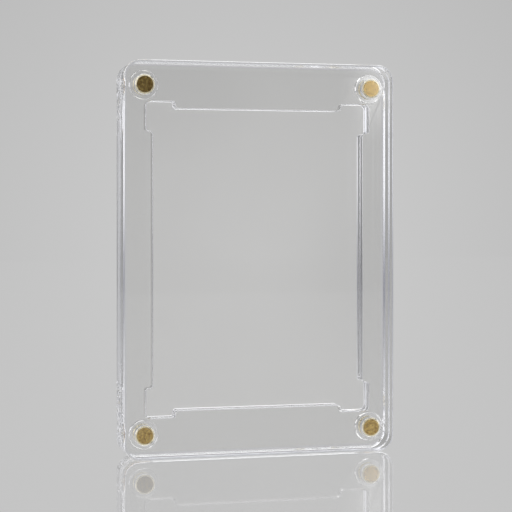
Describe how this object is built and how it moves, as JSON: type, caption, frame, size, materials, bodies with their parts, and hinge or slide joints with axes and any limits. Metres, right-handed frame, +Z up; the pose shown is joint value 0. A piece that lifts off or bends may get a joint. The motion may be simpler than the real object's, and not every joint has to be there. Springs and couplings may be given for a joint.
{
  "type": "trading card display case",
  "caption": "Two thick clear acrylic panels that close face to face, held by corner magnets, around a shallow recess for one trading card; stands on its edge.",
  "frame": {"origin": "middle of the base, in the plane where the two panels meet", "axes": "+X to the right seen from the front, +Y through the thickness towards the back (the front looks towards -Y), +Z up"},
  "size_m": [0.083, 0.0148, 0.1175],
  "materials": {
    "clear_acrylic": "clear cast acrylic, polished faces and edges",
    "clear_cap": "clear acrylic disc, laser cut and cemented",
    "gold_plate": "satin gold plate on a magnet, fine grain"
  },
  "bodies": {
    "back_half": {"back_panel": "clear_acrylic", "back_magnet_top_left": "gold_plate", "back_cap_top_left": "clear_cap", "back_magnet_top_right": "gold_plate", "back_cap_top_right": "clear_cap", "back_magnet_bottom_left": "gold_plate", "back_cap_bottom_left": "clear_cap", "back_magnet_bottom_right": "gold_plate", "back_cap_bottom_right": "clear_cap"},
    "front_half": {"front_panel": "clear_acrylic", "front_magnet_top_left": "gold_plate", "front_cap_top_left": "clear_cap", "front_magnet_top_right": "gold_plate", "front_cap_top_right": "clear_cap", "front_magnet_bottom_left": "gold_plate", "front_cap_bottom_left": "clear_cap", "front_magnet_bottom_right": "gold_plate", "front_cap_bottom_right": "clear_cap"}
  },
  "joints": [
    {"name": "front_lift", "type": "slide", "parent": "back_half", "child": "front_half", "axis": [0, -1, 0], "range_m": [0, 0.05]}
  ]
}
